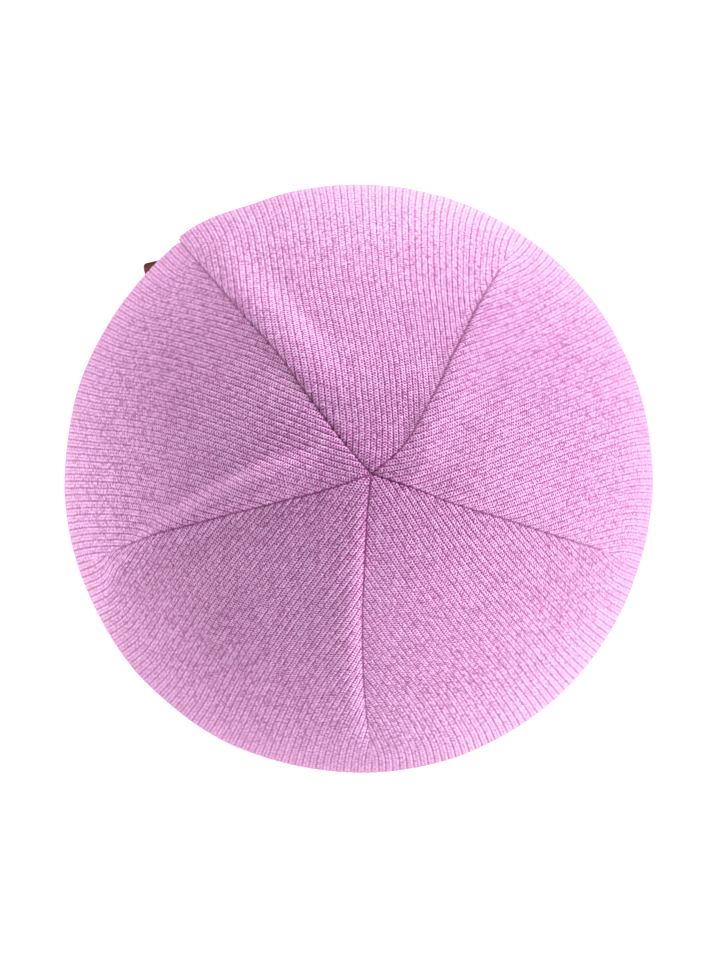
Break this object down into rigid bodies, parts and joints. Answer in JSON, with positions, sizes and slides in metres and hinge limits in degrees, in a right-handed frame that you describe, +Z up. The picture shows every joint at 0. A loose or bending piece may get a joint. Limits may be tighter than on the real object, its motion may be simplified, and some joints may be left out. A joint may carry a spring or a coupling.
{
  "type": "knit beanie",
  "caption": "Rib-knit beanie with a seamed dome crown, a turned-up cuff and a small folded leather loop beside the main seam.",
  "frame": {"origin": "on the surface that the hat stands on, under the middle of its outline", "axes": "+Z up to the crown; +X and +Y are the right and the top of the picture, which looks straight down; the main seam comes down at 127 degrees from +X towards +Y"},
  "size_m": [0.19, 0.19, 0.1536],
  "materials": {
    "knit": "fine 1x1 rib knit with a soft fuzz, pink-mauve",
    "leather": "matt brown leather with dark cut edges"
  },
  "bodies": {
    "root": {"knit_crown": "knit", "turned_up_cuff": "knit", "leather_loop": "leather"}
  },
  "joints": []
}
